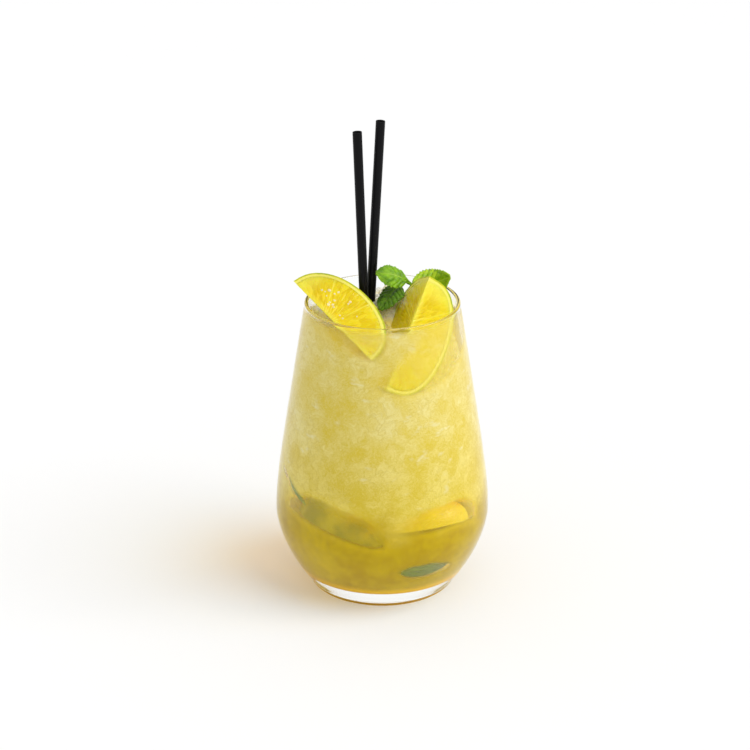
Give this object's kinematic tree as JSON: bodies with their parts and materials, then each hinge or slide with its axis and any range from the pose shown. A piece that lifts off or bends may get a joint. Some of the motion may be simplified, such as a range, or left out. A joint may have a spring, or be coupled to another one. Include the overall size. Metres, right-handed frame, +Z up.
{
  "type": "muddled cocktail in a stemless tumbler",
  "caption": "Stemless tumbler of crushed ice and muddled juice with lime wedges, mint leaves and thin sip straws, free-standing on its flat foot.",
  "frame": {"origin": "middle of the foot's underside, on the surface that the drink stands on", "axes": "+Z up along the tumbler's axis; -Y towards the drinker, who sees the cut faces of both fresh wedges; +X to the drinker's right"},
  "size_m": [0.086, 0.086, 0.1889],
  "materials": {
    "glass": "clear pressed soda-lime glass, polished",
    "juice": "cloudy amber juice",
    "ice": "wet crushed ice in pale juice",
    "straw": "smooth black, slight gloss",
    "rind": "waxy pitted lime peel over pale pith",
    "pulp": "wet cut lime flesh",
    "bruised_rind": "pressed lime peel, dull and wet",
    "bruised_pulp": "pressed lime flesh",
    "mint": "fresh puckered mint leaf",
    "bruised_mint": "wilted wet mint leaf",
    "chip": "clear to frosted broken ice"
  },
  "bodies": {
    "glass": {"glass_tumbler": "glass", "muddled_juice": "juice", "crushed_ice": "ice", "muddled_left_rind": "bruised_rind", "muddled_left_pulp": "bruised_pulp", "muddled_right_rind": "bruised_rind", "muddled_right_pulp": "bruised_pulp", "mint_leaf_wall": "bruised_mint", "mint_leaf_bottom": "bruised_mint", "ice_chip_01": "chip", "ice_chip_02": "chip", "ice_chip_03": "chip", "ice_chip_04": "chip", "ice_chip_05": "chip", "ice_chip_06": "chip", "ice_chip_07": "chip", "ice_chip_08": "chip"},
    "short_straw": {"straw_short": "straw"},
    "tall_straw": {"straw_tall": "straw"},
    "left_wedge": {"left_wedge_rind": "rind", "left_wedge_pulp": "pulp"},
    "right_wedge": {"right_wedge_rind": "rind", "right_wedge_pulp": "pulp"},
    "mint_sprig": {"mint_stem": "mint", "mint_leaf_curled": "mint", "mint_leaf_back": "mint", "mint_leaf_flat": "mint"}
  },
  "joints": [
    {"name": "short_straw_lift", "type": "slide", "parent": "glass", "child": "short_straw", "axis": [-0.0356, 0, 0.9994], "range_m": [0, 0.12]},
    {"name": "tall_straw_lift", "type": "slide", "parent": "glass", "child": "tall_straw", "axis": [0.0521, 0, 0.9986], "range_m": [0, 0.12]},
    {"name": "left_wedge_lift", "type": "slide", "parent": "glass", "child": "left_wedge", "axis": [-0.0698, 0, 0.9976], "range_m": [0, 0.045]},
    {"name": "right_wedge_lift", "type": "slide", "parent": "glass", "child": "right_wedge", "axis": [0.122, 0.453, 0.8831], "range_m": [0, 0.045]},
    {"name": "mint_lift", "type": "slide", "parent": "right_wedge", "child": "mint_sprig", "axis": [0, 0, 1], "range_m": [0, 0.045]}
  ]
}
